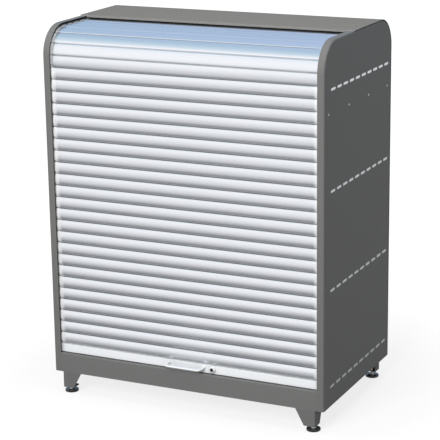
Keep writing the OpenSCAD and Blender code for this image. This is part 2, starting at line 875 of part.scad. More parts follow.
spindle(true, true);  // spindle_rear_left
spindle(false, true);  // spindle_rear_right
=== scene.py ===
import math

import bmesh
import bpy
from mathutils import Matrix, Vector


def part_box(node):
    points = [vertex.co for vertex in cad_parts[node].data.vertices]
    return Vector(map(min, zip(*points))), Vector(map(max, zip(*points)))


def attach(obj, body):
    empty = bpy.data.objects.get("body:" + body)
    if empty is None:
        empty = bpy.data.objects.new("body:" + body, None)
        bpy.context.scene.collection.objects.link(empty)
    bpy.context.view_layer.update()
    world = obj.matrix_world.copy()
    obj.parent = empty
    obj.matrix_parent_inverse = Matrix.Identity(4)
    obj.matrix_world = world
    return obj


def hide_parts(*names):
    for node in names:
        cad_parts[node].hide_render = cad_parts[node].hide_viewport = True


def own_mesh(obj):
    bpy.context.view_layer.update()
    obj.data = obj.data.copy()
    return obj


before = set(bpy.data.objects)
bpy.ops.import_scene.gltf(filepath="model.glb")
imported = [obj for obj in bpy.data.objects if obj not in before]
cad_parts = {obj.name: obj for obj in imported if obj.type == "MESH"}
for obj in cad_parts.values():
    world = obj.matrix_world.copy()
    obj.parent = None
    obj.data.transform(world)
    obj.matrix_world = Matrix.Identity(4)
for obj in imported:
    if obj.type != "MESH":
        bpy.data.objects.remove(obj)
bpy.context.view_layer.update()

# Pieces are drawn in millimetres in the body's own place: y from the front rim, z from the underside
MM = 0.001
BODY_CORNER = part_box("side_right")[0]
IN_BODY = Matrix.Translation((0, BODY_CORNER.y, BODY_CORNER.z)) @ Matrix.Scale(MM, 4)


def box_of(node):
    """The lowest and highest corner of a node, in the body's own place."""
    return [IN_BODY.inverted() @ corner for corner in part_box(node)]


SIDE_LOW, SIDE_HIGH = box_of("side_right")
BACK_LOW, BACK_HIGH = box_of("back_panel")
COVER_LOW, COVER_HIGH = box_of("top_cover")
PLINTH_LOW, PLINTH_HIGH = box_of("plinth_panel")
RAIL_LOW, RAIL_HIGH = box_of("bottom_rail")
SLATS_LOW, SLATS_HIGH = box_of("lower_slats_set")
SHEET = BACK_HIGH.y - BACK_LOW.y
CORNER_R = 100
SHEET_BEND = 3.5
SIDE_BEND = 6
# Gap between pieces that are put together
GAP = 0.3
# Corners sharper than this many degrees stay sharp in shading and are rounded by a modifier
SHARP_ANGLE = 32


# Materials

BRUSHED = (0.02, 1, 1)
BROAD_SCALE = 3.0
BUMP_HEIGHT = 0.0005
GLOSS_LOW, GLOSS_HIGH = 0.88, 1.14
END_BLEND = 0.012
DUST_COLOUR = (0.6, 0.58, 0.54)
DUST_TILT = 0.3
# Painted highlight along rounded corners: how light its grey is, and the bevel values where it starts and is
# full
HIGHLIGHT_GAIN, HIGHLIGHT_LIFT = 1.6, 0.03
EDGE_START, EDGE_FULL = 0.97, 0.8
# Painted shade in grooves, with some dirt: its colour, the occlusion values where it starts and is full, and
# its rays
GROOVE_SHADE_AND_DIRT = (0.16, 0.17, 0.18)
GROOVE_START, GROOVE_FULL = 0.95, 0.35
GROOVE_RAYS = 6


def node_in(tree, kind, **values):
    """A new shader node with the named input sockets set."""
    node = tree.nodes.new(kind)
    for key, value in values.items():
        node.inputs[key.replace("_", " ")].default_value = value
    return node


def maths(tree, operation, a, b=None):
    """A Math node's output; a and b are sockets or numbers."""
    node = tree.nodes.new("ShaderNodeMath")
    node.operation = operation
    for socket, value in zip(node.inputs, (a, b)):
        if value is None:
            continue
        if isinstance(value, (int, float)):
            socket.default_value = value
        else:
            tree.links.new(value, socket)
    return node.outputs[0]


def dot(tree, a):
    """A dot product's node; its first vector is a socket, and its second is still to be set."""
    node = tree.nodes.new("ShaderNodeVectorMath")
    node.operation = "DOT_PRODUCT"
    tree.links.new(a, node.inputs[0])
    return node


def mixed(tree, factor, a, b):
    """A colour mix's output; a and b are sockets or plain colours."""
    node = tree.nodes.new("ShaderNodeMix")
    node.data_type = "RGBA"
    tree.links.new(factor, node.inputs["Factor"])
    for key, value in (("A", a), ("B", b)):
        if isinstance(value, tuple):
            node.inputs[key].default_value = (*value, 1)
        else:
            tree.links.new(value, node.inputs[key])
    return node.outputs["Result"]


def ranged(tree, value, low, high, to_low, to_high):
    """A value mapped from low..high to to_low..to_high."""
    node = node_in(tree, "ShaderNodeMapRange", From_Min=low, From_Max=high, To_Min=to_low, To_Max=to_high)
    tree.links.new(value, node.inputs["Value"])
    return node.outputs["Result"]


def noise(tree, place, scale, detail, roughness):
    """A noise's value over the socket that says where it lies."""
    node = node_in(tree, "ShaderNodeTexNoise", Scale=scale, Detail=detail, Roughness=roughness)
    tree.links.new(place, node.inputs["Vector"])
    return node.outputs["Fac"]


def scaled(colour, share):
    """A colour made lighter or darker."""
    return tuple(min(1.0, c * share) for c in colour)


def plain_ends(tree, shader, tint, place, metallic, start, end_colour):
    """Further than start from the middle, along x, metal turns to a plain second colour."""
    along = tree.nodes.new("ShaderNodeSeparateXYZ")
    tree.links.new(place, along.inputs[0])
    past = ranged(tree, maths(tree, "ABSOLUTE", along.outputs["X"]), start, start + END_BLEND, 0, 1)
    metal = maths(tree, "MULTIPLY", maths(tree, "SUBTRACT", 1.0, past), metallic)
    tree.links.new(metal, shader.inputs["Metallic"])
    return mixed(tree, past, tint, end_colour)


def dusty(tree, tint, blend, dust):
    """Greys the surfaces that face up."""
    facing = tree.nodes.new("ShaderNodeSeparateXYZ")
    tree.links.new(tree.nodes.new("ShaderNodeNewGeometry").outputs["Normal"], facing.inputs[0])
    upward = ranged(tree, facing.outputs["Z"], DUST_TILT, 1, 0, dust)
    return mixed(tree, maths(tree, "MULTIPLY", upward, blend), tint, DUST_COLOUR)


def painted_edge_highlight(tree, tint, colour, edge, edge_w):
    """Paints a highlight on the corners over edge_w, where a rounded normal turns away from the true one, as
    if light caught the rounded edges.
    """
    corner = dot(tree, node_in(tree, "ShaderNodeBevel", Radius=edge_w).outputs["Normal"])
    tree.links.new(tree.nodes.new("ShaderNodeNewGeometry").outputs["Normal"], corner.inputs[1])
    amount = ranged(tree, corner.outputs["Value"], EDGE_START, EDGE_FULL, 0, edge)
    highlight_grey = sum(colour) / 3 * HIGHLIGHT_GAIN + HIGHLIGHT_LIFT
    return mixed(tree, amount, tint, (highlight_grey, highlight_grey, highlight_grey))


def groove_shade_and_dirt(tree, tint, groove, groove_w):
    """Darkens grooves up to groove_w wide: painted shade where nearby surfaces close in, in the slat joints
    and round the handle and lock, with some dirt in the joints.
    """
    open_sky = node_in(tree, "ShaderNodeAmbientOcclusion", Distance=groove_w)
    open_sky.samples = GROOVE_RAYS
    amount = ranged(tree, open_sky.outputs["AO"], GROOVE_START, GROOVE_FULL, 0, groove)
    return mixed(tree, amount, tint, GROOVE_SHADE_AND_DIRT)


def finish_of(name, colour, roughness, metallic=0.0, vary=0.04, grain=900.0, bump=0.02,
              stretch=(1, 1, 1), coat=0.0, specular=0.5, ends=None, dust=0.0,
              edge=0.0, edge_w=0.0012, groove=0.0, groove_w=0.008):
    """A finish whose colour, gloss and surface vary with two scales of noise. stretch squeezes the
    fine noise along an axis, as in brushed or drawn metal; ends is where the plain ends start, and
    their colour; dust, edge and groove say how strong each of these is. dust greys surfaces that face
    up, edge paints a highlight along rounded corners, and groove paints shade, with some dirt, into grooves."""
    made = bpy.data.materials.new(name)
    made.use_nodes = True
    tree = made.node_tree
    tree.nodes.clear()
    shader = node_in(tree, "ShaderNodeBsdfPrincipled", Metallic=metallic, Coat_Weight=coat,
                     Specular_IOR_Level=specular)
    place = tree.nodes.new("ShaderNodeTexCoord").outputs["Object"]
    mapping = node_in(tree, "ShaderNodeMapping", Scale=stretch)
    tree.links.new(place, mapping.inputs["Vector"])
    fine = noise(tree, mapping.outputs["Vector"], grain, 3.0, 0.6)
    broad = noise(tree, place, BROAD_SCALE, 2.0, 0.5)
    blend = maths(tree, "ADD", maths(tree, "MULTIPLY", fine, 0.5), maths(tree, "MULTIPLY", broad, 0.5))
    tint = mixed(tree, blend, scaled(colour, 1 - vary), scaled(colour, 1 + vary))
    if ends:
        tint = plain_ends(tree, shader, tint, place, metallic, *ends)
    if dust:
        tint = dusty(tree, tint, blend, dust)
    if edge:
        tint = painted_edge_highlight(tree, tint, colour, edge, edge_w)
    if groove:
        tint = groove_shade_and_dirt(tree, tint, groove, groove_w)
    tree.links.new(tint, shader.inputs["Base Color"])
    gloss = ranged(tree, fine, 0, 1, roughness * GLOSS_LOW, min(1.0, roughness * GLOSS_HIGH))
    tree.links.new(gloss, shader.inputs["Roughness"])
    relief = node_in(tree, "ShaderNodeBump", Strength=bump, Distance=BUMP_HEIGHT)
    tree.links.new(fine, relief.inputs["Height"])
    tree.links.new(relief.outputs["Normal"], shader.inputs["Normal"])
    out = tree.nodes.new("ShaderNodeOutputMaterial")
    tree.links.new(shader.outputs["BSDF"], out.inputs["Surface"])
    return made


def powder_coat(name, colour, roughness=0.5, edge=0.35, edge_w=0.0012, specular=0.3):
    """Baked paint with a fine texture, with a painted highlight along the edges of the sheet."""
    return finish_of(name, colour, roughness, bump=0.12, grain=1100, edge=edge, edge_w=edge_w,
                     specular=specular)


def slat_finish(name, groove, ends):
    """Bright drawn aluminium with painted shade and some dirt in its grooves, and plain ends in the guides.
    """
    return finish_of(name, (0.90, 0.92, 0.98), 0.32, metallic=0.95, vary=0.05, grain=420,
                     stretch=BRUSHED, bump=0.10, ends=ends, groove=groove)


def shaded_rail_zinc(row, tone):
    """Zinc of a pair of shelf rails, whose lugs show in the slots of one row; tone is painted shade, darker
    for the lower rows.
    """
    return finish_of(f"shaded_rail_zinc_{row}", (tone, tone, tone), 0.45, metallic=0.9, grain=160, vary=0.02,
                     bump=0.05)


SIDE_PAINT = powder_coat("side_paint", (0.156, 0.155, 0.152))
# The top sheet's paint is lighter than the sides': painted light, as if more light fell on the top; its edges
# also get a strong painted highlight
LIT_COVER_PAINT = powder_coat("lit_cover_paint", (0.200, 0.196, 0.187), 0.75, edge=0.6, edge_w=0.003,
                          specular=0.1)
PLINTH_PAINT = powder_coat("plinth_paint", (0.160, 0.160, 0.158))
LEG_PAINT = powder_coat("leg_paint", (0.150, 0.150, 0.148), edge=0.2)
# The slats' groove values paint shade, with some dirt, into the joints between slats
SLAT_METAL = slat_finish("slat_metal", 1.0, (0.458, (0.78, 0.78, 0.78)))
BEND_METAL = slat_finish("bend_metal", 0.12, (0.468, (0.72, 0.72, 0.72)))
# The rail's groove paints shade on it round the handle bow and the lock
RAIL_METAL = finish_of("rail_metal", (0.94, 0.96, 1.0), 0.38, metallic=0.2, vary=0.04, grain=420,
                       stretch=BRUSHED, bump=0.10, groove=0.45, groove_w=0.03)
ZINC = finish_of("zinc_sheet", (0.66, 0.68, 0.70), 0.42, metallic=0.8, grain=120, vary=0.08, bump=0.05)
CHROME = finish_of("polished_chrome", (0.96, 0.96, 0.97), 0.14, metallic=0.75, grain=40, vary=0.01,
                   bump=0.0)
PLATED = finish_of("plated_steel", (0.66, 0.66, 0.67), 0.25, metallic=1.0, grain=500, bump=0.04)
BRIGHT_ZINC = finish_of("bright_zinc", (0.86, 0.87, 0.88), 0.3, metallic=0.5, grain=400, vary=0.04,
                        bump=0.04)
# The lock plug is painted near black: painted shade that stands for the dark keyway
LOCK_SHADE_BLACK = finish_of("lock_plug_shade_black", (0.015, 0.015, 0.016), 0.3, grain=500, bump=0.03)
GUIDE_GREY = finish_of("guide_plastic", (0.06, 0.06, 0.063), 0.5, grain=700, bump=0.08)
BLACK = finish_of("cap_black", (0.025, 0.025, 0.028), 0.55, grain=700, bump=0.08)
RUBBER = finish_of("seal_rubber", (0.018, 0.018, 0.018), 0.75, grain=900, bump=0.12)
FOOT_BLACK = finish_of("foot_black", (0.01, 0.01, 0.011), 0.16, grain=300, bump=0.01, coat=0.3, dust=0.1)


# Outlines

def arc(centre, radius, start, end, steps=6):
    """Points on an arc, in degrees."""
    angles = [math.radians(start + (end - start) * i / steps) for i in range(steps + 1)]
    return [(centre[0] + radius * math.cos(a), centre[1] + radius * math.sin(a)) for a in angles]


def rounded(points, radius, steps=6):
    """An open line whose corners are rounded to one radius."""
    line = [Vector(points[0])]
    for i in range(1, len(points) - 1):
        here = Vector(points[i])
        back = (Vector(points[i - 1]) - here).normalized()
        on = (Vector(points[i + 1]) - here).normalized()
        half = back.angle(on) / 2
        middle = here + (back + on).normalized() * (radius / math.sin(half))
        spoke = here + back * (radius / math.tan(half)) - middle
        sweep = math.copysign(math.pi - 2 * half, on.cross(back))
        for k in range(steps + 1):
            line.append(middle + Matrix.Rotation(sweep * k / steps, 2) @ spoke)
    line.append(Vector(points[-1]))
    return line


def folded_sheet(points, thickness, radius):
    """Closed outline of a folded sheet; points are its outer line, and the sheet lies to its left."""
    line = rounded(points, radius)
    inner = []
    for i, point in enumerate(line):
        ahead = line[min(i + 1, len(line) - 1)] - line[max(i - 1, 0)]
        inner.append(point + Vector((-ahead.y, ahead.x)).normalized() * thickness)
    return [tuple(p) for p in line] + [tuple(p) for p in reversed(inner)]


def slot_loop(y, z, length, height):
    """Outline of a slot with round ends."""
    reach = (length - height) / 2
    return arc((y + reach, z), height / 2, -90, 90) + arc((y - reach, z), height / 2, 90, 270)


def circle_loop(u, v, radius, steps=24):
    """Points round a circle, the first one not repeated."""
    return arc((u, v), radius, 0, 360 - 360 / steps, steps - 1)


# Meshes

AXES = {"x": lambda u, v, w: (w, u, v), "y": lambda u, v, w: (u, w, v), "z": lambda u, v, w: (u, v, w)}
AS_DRAWN = Matrix()


def edges_round(bm, ring):
    """The edges of a closed ring of vertices."""
    return [bm.edges.get((ring[k - 1], ring[k])) for k in range(len(ring))]


def fill(bm, edges, **options):
    """Fills the flat area between closed loops of edges."""
    bmesh.ops.triangle_fill(bm, edges=edges, use_beauty=True, use_dissolve=False, **options)


def close_ring(bm, low, high):
    """Faces between two rings of as many points."""
    for k in range(len(low)):
        n = (k + 1) % len(low)
        bm.faces.new((low[k], low[n], high[n], high[k]))


def add_prism(bm, loops, axis, start, end):
    """Adds closed outlines pulled along an axis and closed at both ends; the first loop is the outer one
    and the others are holes."""
    ends = ([], [])
    for loop in loops:
        rings = [[bm.verts.new(AXES[axis](u, v, w)) for u, v in loop] for w in (start, end)]
        close_ring(bm, *rings)
        for ring, edges in zip(rings, ends):
            edges += edges_round(bm, ring)
    for edges in ends:
        fill(bm, edges)


def add_loft(bm, rings):
    """Adds a skin through closed rings of as many points, closed at both ends."""
    rings = [[bm.verts.new(p) for p in ring] for ring in rings]
    for low, high in zip(rings, rings[1:]):
        close_ring(bm, low, high)
    bm.faces.new(rings[0])
    bm.faces.new(rings[-1])


def add_turned(bm, profile, centre, axis, bore=False, steps=40):
    """Adds a turned shape; profile is a list of (radius, height). With a bore the profile is a closed
    loop, and otherwise its two ends are closed by discs."""
    rings = []
    for radius, height in profile:
        ring = [bm.verts.new(Vector(centre) + Vector(AXES[axis](u, v, height)))
                for u, v in circle_loop(0, 0, radius, steps)]
        rings.append(ring)
    for low, high in zip(rings, rings[1:]):
        close_ring(bm, low, high)
    if bore:
        close_ring(bm, rings[-1], rings[0])
    else:
        bm.faces.new(rings[0])
        bm.faces.new(rings[-1])


def add_bar(bm, line, radius, across, steps=24):
    """Adds a round bar along a line that lies in one plane; across is the plane's normal."""
    rings = []
    for i, point in enumerate(line):
        ahead = (line[min(i + 1, len(line) - 1)] - line[max(i - 1, 0)]).normalized()
        side = ahead.cross(across)
        rings.append([point + side * u + across * v for u, v in circle_loop(0, 0, radius, steps)])
    add_loft(bm, rings)


def soften(thing, width, angle=SHARP_ANGLE):
    """Rounds the sharp edges of a piece or a CAD node by a modifier."""
    rounding = thing.modifiers.new("rounding", "BEVEL")
    rounding.width = width * MM
    rounding.segments = 2
    rounding.limit_method = "ANGLE"
    rounding.angle_limit = math.radians(angle)
    rounding.harden_normals = True


def piece(name, bm, material, body, replaces, bevel=0.0, angle=SHARP_ANGLE, turn=AS_DRAWN):
    """Turns a drawn mesh into a finished piece that rides on a body and stands for the replaced nodes;
    turn is a matrix in the body's own place that is put on first."""
    bmesh.ops.transform(bm, matrix=IN_BODY @ turn, verts=bm.verts)
    bmesh.ops.remove_doubles(bm, verts=bm.verts, dist=1e-6)
    bmesh.ops.recalc_face_normals(bm, faces=bm.faces)
    mesh = bpy.data.meshes.new(name)
    bm.to_mesh(mesh)
    bm.free()
    mesh.polygons.foreach_set("use_smooth", [True] * len(mesh.polygons))
    mesh.set_sharp_from_angle(angle=math.radians(angle))
    made = bpy.data.objects.new(name, mesh)
    bpy.context.scene.collection.objects.link(made)
    made.data.materials.append(material)
    if bevel:
        soften(made, bevel, angle)
    weighted = made.modifiers.new("normals", "WEIGHTED_NORMAL")
    weighted.keep_sharp = True
    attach(made, body)
    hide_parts(*replaces)
    return made


# Light, floor and camera

WHITE = (1, 1, 1, 1)
PLAIN_LIGHT = 0.33
# Colours that bright metal mirrors, from level with the floor up to overhead and a little behind
SKY_UP = (0, 0.6, 0.8)
SKY_STOPS = ((0.06, (1, 1, 1)), (0.30, (0.78, 0.86, 0.91)), (0.52, (0.48, 0.64, 0.755)),
             (0.78, (0.32, 0.485, 0.635)), (1.0, (0.50, 0.57, 0.86)))
FLOOR_HALF = 30
FLOOR_GREY = 0.19
# The floor's own light, for the camera by the distance from the middle and for metal by the slant
LIFT_NEAR, LIFT_FAR = 0.7, 1.6
NEAR_LIFT = 0.81
SLANT_START, SLANT_FULL = 0.40, 0.95
SLANT_LIFT = 0.86
# The photograph's camera, solved from the cabinet's own edges
CAMERA_PLACE = (2.411, -5.036, 2.110)
CAMERA_AZIMUTH, CAMERA_ELEVATION, CAMERA_ROLL = -25.57, 15.18, -0.81
FOCAL_PX, PHOTO_PX = 1697.0, 440.0
SENSOR_W = 36.0
LAMP_TARGET = Vector((0, 0, 0.7))


def soft_lamp(name, place, size, watts):
    """A square lamp that points at the cabinet and isn't mirrored in it."""
    data = bpy.data.lights.new(name, "AREA")
    data.size = size
    data.energy = watts
    lamp = bpy.data.objects.new(name, data)
    lamp.location = place
    lamp.rotation_mode = "QUATERNION"
    lamp.rotation_quaternion = (LAMP_TARGET - lamp.location).to_track_quat("-Z", "Y")
    lamp.visible_glossy = False
    bpy.context.scene.collection.objects.link(lamp)


def mixed_light(tree, factor, a, b):
    """Light a where the factor is 0, and light b where it is 1."""
    node = tree.nodes.new("ShaderNodeMixShader")
    for socket, value in zip(node.inputs, (factor, a, b)):
        tree.links.new(value, socket)
    return node.outputs[0]


def studio_world():
    """A white surround for the camera, a plain weak light for matt surfaces, and for bright metal a
    surround that is white in front and blue overhead and behind."""
    world = bpy.data.worlds.new("studio")
    bpy.context.scene.world = world
    world.use_nodes = True
    tree = world.node_tree
    tree.nodes.clear()
    raised = dot(tree, tree.nodes.new("ShaderNodeTexCoord").outputs["Generated"])
    raised.inputs[1].default_value = SKY_UP
    ramp = tree.nodes.new("ShaderNodeValToRGB")
    tree.links.new(raised.outputs["Value"], ramp.inputs["Fac"])
    while len(ramp.color_ramp.elements) < len(SKY_STOPS):
        ramp.color_ramp.elements.new(0.5)
    for element, (place, colour) in zip(ramp.color_ramp.elements, SKY_STOPS):
        element.position = place
        element.color = (*colour, 1)
    mirrored = tree.nodes.new("ShaderNodeBackground")
    tree.links.new(ramp.outputs["Color"], mirrored.inputs["Color"])
    plain = node_in(tree, "ShaderNodeBackground", Color=WHITE, Strength=PLAIN_LIGHT)
    white = node_in(tree, "ShaderNodeBackground", Color=WHITE, Strength=1.0)
    ray = tree.nodes.new("ShaderNodeLightPath").outputs
    light = mixed_light(tree, ray["Is Glossy Ray"], plain.outputs[0], mirrored.outputs[0])
    light = mixed_light(tree, ray["Is Camera Ray"], light, white.outputs[0])
    out = tree.nodes.new("ShaderNodeOutputWorld")
    tree.links.new(light, out.inputs["Surface"])


def floor_finish():
    """Matt and grey, lifted towards white for the camera away from the object. Bright metal sees it
    grey from close above and white towards the horizon."""
    made = bpy.data.materials.new("pale_floor")
    made.use_nodes = True
    tree = made.node_tree
    shader = tree.nodes["Principled BSDF"]
    shader.inputs["Base Color"].default_value = (FLOOR_GREY, FLOOR_GREY, FLOOR_GREY, 1)
    shader.inputs["Roughness"].default_value = 0.9
    shader.inputs["Specular IOR Level"].default_value = 0.1
    shader.inputs["Emission Color"].default_value = WHITE
    away = tree.nodes.new("ShaderNodeVectorMath")
    away.operation = "LENGTH"
    tree.links.new(tree.nodes.new("ShaderNodeTexCoord").outputs["Object"], away.inputs[0])
    lift = ranged(tree, away.outputs["Value"], LIFT_NEAR, LIFT_FAR, NEAR_LIFT, 1.0)
    slant = tree.nodes.new("ShaderNodeLayerWeight").outputs["Facing"]
    mirrored_lift = ranged(tree, slant, SLANT_START, SLANT_FULL, 0.0, SLANT_LIFT)
    ray = tree.nodes.new("ShaderNodeLightPath").outputs
    strength = maths(tree, "ADD", maths(tree, "MULTIPLY", ray["Is Camera Ray"], lift),
                     maths(tree, "MULTIPLY", ray["Is Glossy Ray"], mirrored_lift))
    tree.links.new(strength, shader.inputs["Emission Strength"])
    return made


def pale_floor():
    """A plain floor that is only part of the stage."""
    bm = bmesh.new()
    bmesh.ops.create_grid(bm, x_segments=1, y_segments=1, size=FLOOR_HALF)
    mesh = bpy.data.meshes.new("floor")
    bm.to_mesh(mesh)
    bm.free()
    mesh.materials.append(floor_finish())
    floor = bpy.data.objects.new("floor", mesh)
    bpy.context.scene.collection.objects.link(floor)


def photo_camera():
    """The camera that the photograph was taken from."""
    azimuth, elevation, roll = (math.radians(a) for a in (CAMERA_AZIMUTH, CAMERA_ELEVATION, CAMERA_ROLL))
    ahead = Vector((math.sin(azimuth) * math.cos(elevation), math.cos(azimuth) * math.cos(elevation),
                    -math.sin(elevation)))
    level = Vector((math.cos(azimuth), -math.sin(azimuth), 0))
    upright = level.cross(ahead)
    right = level * math.cos(roll) + upright * math.sin(roll)
    up = upright * math.cos(roll) - level * math.sin(roll)
    data = bpy.data.cameras.new("photo_camera")
    data.sensor_width = SENSOR_W
    data.lens = FOCAL_PX / PHOTO_PX * SENSOR_W
    data.clip_start, data.clip_end = 0.1, 100
    camera = bpy.data.objects.new("photo_camera", data)
    camera.matrix_world = Matrix((right, up, -ahead)).transposed().to_4x4()
    camera.location = CAMERA_PLACE
    bpy.context.scene.collection.objects.link(camera)
    bpy.context.scene.camera = camera


bpy.context.scene.view_settings.view_transform = "Standard"
studio_world()
pale_floor()
photo_camera()
soft_lamp("key", (0.1, -4.0, 2.6), size=2.2, watts=172)
soft_lamp("top", (0.2, -0.3, 4.2), size=3.0, watts=66)


# Side shells, with their slots and rivet holes

SLOT_PITCH = 53
SLOT_L, SLOT_H = 38, 9
SLOT_FIRST = 74
SLOT_COUNT = 10
ROW_TOP = 155
ROW_FIRST = 67
ROW_COUNT = 4
RIVET_COUNT = 4
RIVET_FRONT, RIVET_REAR = 35, 40
RIVET_DROP = 75
RIVET_R = 4
RIM_DEPTH = 12
ARCH_STEPS = 26


def arch_path(y0, y1, top, front_r, back_r):
    """Points and inward normals up the front, over two round corners and down the rear."""
    path = [(Vector((y0, 0)), Vector((1, 0)))]
    for centre, radius, start in (((y0 + front_r, top - front_r), front_r, 180),
                                  ((y1 - back_r, top - back_r), back_r, 90)):
        for i in range(ARCH_STEPS + 1):
            a = math.radians(start - 90 * i / ARCH_STEPS)
            spoke = Vector((math.cos(a), math.sin(a)))
            path.append((Vector(centre) + spoke * radius, -spoke))
    path.append((Vector((y1, 0)), Vector((-1, 0))))
    return path


def rivet_places():
    """Middle of each rivet on a side, as y and z."""
    pitch = (BACK_HIGH.y - RIVET_FRONT - RIVET_REAR) / (RIVET_COUNT - 1)
    return [(RIVET_FRONT + i * pitch, COVER_HIGH.z - ROW_TOP - RIVET_DROP) for i in range(RIVET_COUNT)]


def side_holes():
    """Outlines of the slots and the rivet holes."""
    row_pitch = (COVER_HIGH.z - ROW_TOP - ROW_FIRST) / (ROW_COUNT - 1)
    for row in range(ROW_COUNT):
        for i in range(SLOT_COUNT):
            yield slot_loop(SLOT_FIRST + i * SLOT_PITCH, ROW_FIRST + row * row_pitch, SLOT_L, SLOT_H)
    for y, z in rivet_places():
        yield circle_loop(y, z, RIVET_R)


def side_shell(name, side):
    """A side sheet, -1 on the left and 1 on the right. Its folded rim is a section that follows the
    arch, and both faces of the sheet are then filled between the rim and the holes."""
    face = SIDE_HIGH.x
    centre = (face - SIDE_BEND, SIDE_BEND)
    section = [(face - SHEET, RIM_DEPTH), *arc(centre, SIDE_BEND - SHEET, 0, -90), (SIDE_LOW.x, SHEET),
               (SIDE_LOW.x, 0), *arc(centre, SIDE_BEND, -90, 0), (face, RIM_DEPTH)]
    bm = bmesh.new()
    rings = []
    for point, inward in arch_path(0, SIDE_HIGH.y, SIDE_HIGH.z, CORNER_R, CORNER_R - SHEET):
        rings.append([bm.verts.new((side * x, *(point + inward * depth))) for x, depth in section])
    for a, b in zip(rings, rings[1:]):
        for k in range(len(section) - 1):
            bm.faces.new((a[k], a[k + 1], b[k + 1], b[k]))
    first, last = rings[0], rings[-1]
    bm.faces.new(first)
    bm.faces.new(last)
    bm.faces.new((first[0], first[-1], last[-1], last[0]))
    # The sheet's inner face starts at the section's first point and its outer face at the last
    skins = {0: face - SHEET, -1: face}
    edges = {k: [bm.edges.get((a[k], b[k])) for a, b in zip(rings, rings[1:])] for k in skins}
    for k in skins:
        edges[k].append(bm.edges.get((first[k], last[k])))
    for loop in side_holes():
        pair = {k: [bm.verts.new((side * x, y, z)) for y, z in loop] for k, x in skins.items()}
        close_ring(bm, pair[0], pair[-1])
        for k, ring in pair.items():
            edges[k] += edges_round(bm, ring)
    for k in skins:
        fill(bm, edges[k], normal=(side, 0, 0))
    piece(name + "_shell", bm, SIDE_PAINT, "cabinet", [name], bevel=0.5)


side_shell("side_left", -1)
side_shell("side_right", 1)


# Top sheet, plinth and back

COVER_LIP = 7
PLINTH_LIP = 14
SCREW_COUNT = 5
SCREW_LOW, SCREW_TOP = 60, 50


def cover_shell():
    """The top sheet with its rounded rear edge, and a lip at the front between the sides."""
    front, top, rear = COVER_LOW.y, COVER_HIGH.z, COVER_HIGH.y
    lip_low = top - COVER_LIP
    lip_x = SIDE_LOW.x - GAP
    front_bend = (front + SHEET_BEND, top - SHEET_BEND)
    rear_bend = (rear - CORNER_R, top - CORNER_R)
    profile = [(front, lip_low), *arc(front_bend, SHEET_BEND, 180, 90),
               *arc(rear_bend, CORNER_R, 90, 0, ARCH_STEPS),
               (rear, COVER_LOW.z), (rear - SHEET, COVER_LOW.z),
               *arc(rear_bend, CORNER_R - SHEET, 0, 90, ARCH_STEPS),
               *arc(front_bend, SHEET_BEND - SHEET, 90, 180), (front + SHEET, lip_low)]
    without_lip = [(y, max(z, top - SHEET) if y < front + SHEET_BEND else z) for y, z in profile]
    stations = ((COVER_LOW.x, without_lip), (-lip_x, without_lip), (-lip_x, profile),
                (lip_x, profile), (lip_x, without_lip), (COVER_HIGH.x, without_lip))
    bm = bmesh.new()
    add_loft(bm, [[(x, y, z) for y, z in line] for x, line in stations])
    piece("top_cover_shell", bm, LIT_COVER_PAINT, "cabinet", ["top_cover"], bevel=0.5)


def plinth_shell():
    """The front panel under the shutter, folded back into a sill with a lip."""
    lip_low = PLINTH_HIGH.z - PLINTH_LIP
    line = [(0, 0), (0, PLINTH_HIGH.z), (PLINTH_HIGH.y, PLINTH_HIGH.z), (PLINTH_HIGH.y, lip_low)]
    outline = folded_sheet([(-y, z) for y, z in line], SHEET, SHEET_BEND)
    bm = bmesh.new()
    add_prism(bm, [[(-y, z) for y, z in outline]], "x", PLINTH_LOW.x, PLINTH_HIGH.x)
    piece("plinth_shell", bm, PLINTH_PAINT, "cabinet", ["plinth_panel"], bevel=0.4)


def rivet_heads():
    """Heads of the pulled rivets, dished in the middle and flush with the side. Each point is a radius
    and a height over the sheet's outer face."""
    head = [(0.8, -0.9), (1.4, -0.5), (2.0, -0.15), (3.4, -0.1), (3.8, -0.4), (3.85, -1.6)]
    shank = [(1.85, -1.6), (1.85, -4.8), (3.1, -4.9), (3.1, -6.0), (0.8, -6.2)]
    bm = bmesh.new()
    for side in (-1, 1):
        for y, z in rivet_places():
            profile = [(radius, side * height) for radius, height in head + shank]
            add_turned(bm, profile, (side * SIDE_HIGH.x, y, z), "x", steps=24)
    piece("rivet_heads", bm, BRIGHT_ZINC, "cabinet", ["side_rivets"])


def cross_loop(arm, half_arm):
    """Outline of a cross."""
    loop = []
    for quarter in range(4):
        turn = Matrix.Rotation(math.radians(90 * quarter), 2)
        loop += [tuple(turn @ Vector(p)) for p in ((arm, -half_arm), (arm, half_arm), (half_arm, half_arm))]
    return loop


def back_screw_heads():
    """Countersunk screws with a cross recess, flush with the back."""
    recess, flush, cone_end, shank_end = 1.1, 0.05, 2.1, 6.0
    cross = cross_loop(2.1, 0.45)
    head, shank = circle_loop(0, 0, 3.7), circle_loop(0, 0, 1.7)
    levels = ((cross, recess), (cross, flush), (head, flush), (shank, cone_end), (shank, shank_end))
    pitch = (COVER_LOW.z - SCREW_LOW - SCREW_TOP) / (SCREW_COUNT - 1)
    bm = bmesh.new()
    for side in (-1, 1):
        x = side * (SIDE_HIGH.x + SIDE_LOW.x - SHEET) / 2
        for i in range(SCREW_COUNT):
            z = SCREW_LOW + i * pitch
            rings = [[bm.verts.new((x + u, BACK_HIGH.y - depth, z + v)) for u, v in loop]
                     for loop, depth in levels]
            close_ring(bm, rings[0], rings[1])
            for a, b in zip(rings[2:], rings[3:]):
                close_ring(bm, a, b)
            bm.faces.new(rings[0])
            bm.faces.new(rings[-1])
            fill(bm, edges_round(bm, rings[1]) + edges_round(bm, rings[2]))
    piece("back_screw_heads", bm, PLATED, "cabinet", ["back_screws"])


cover_shell()
plinth_shell()
rivet_heads()
back_screw_heads()


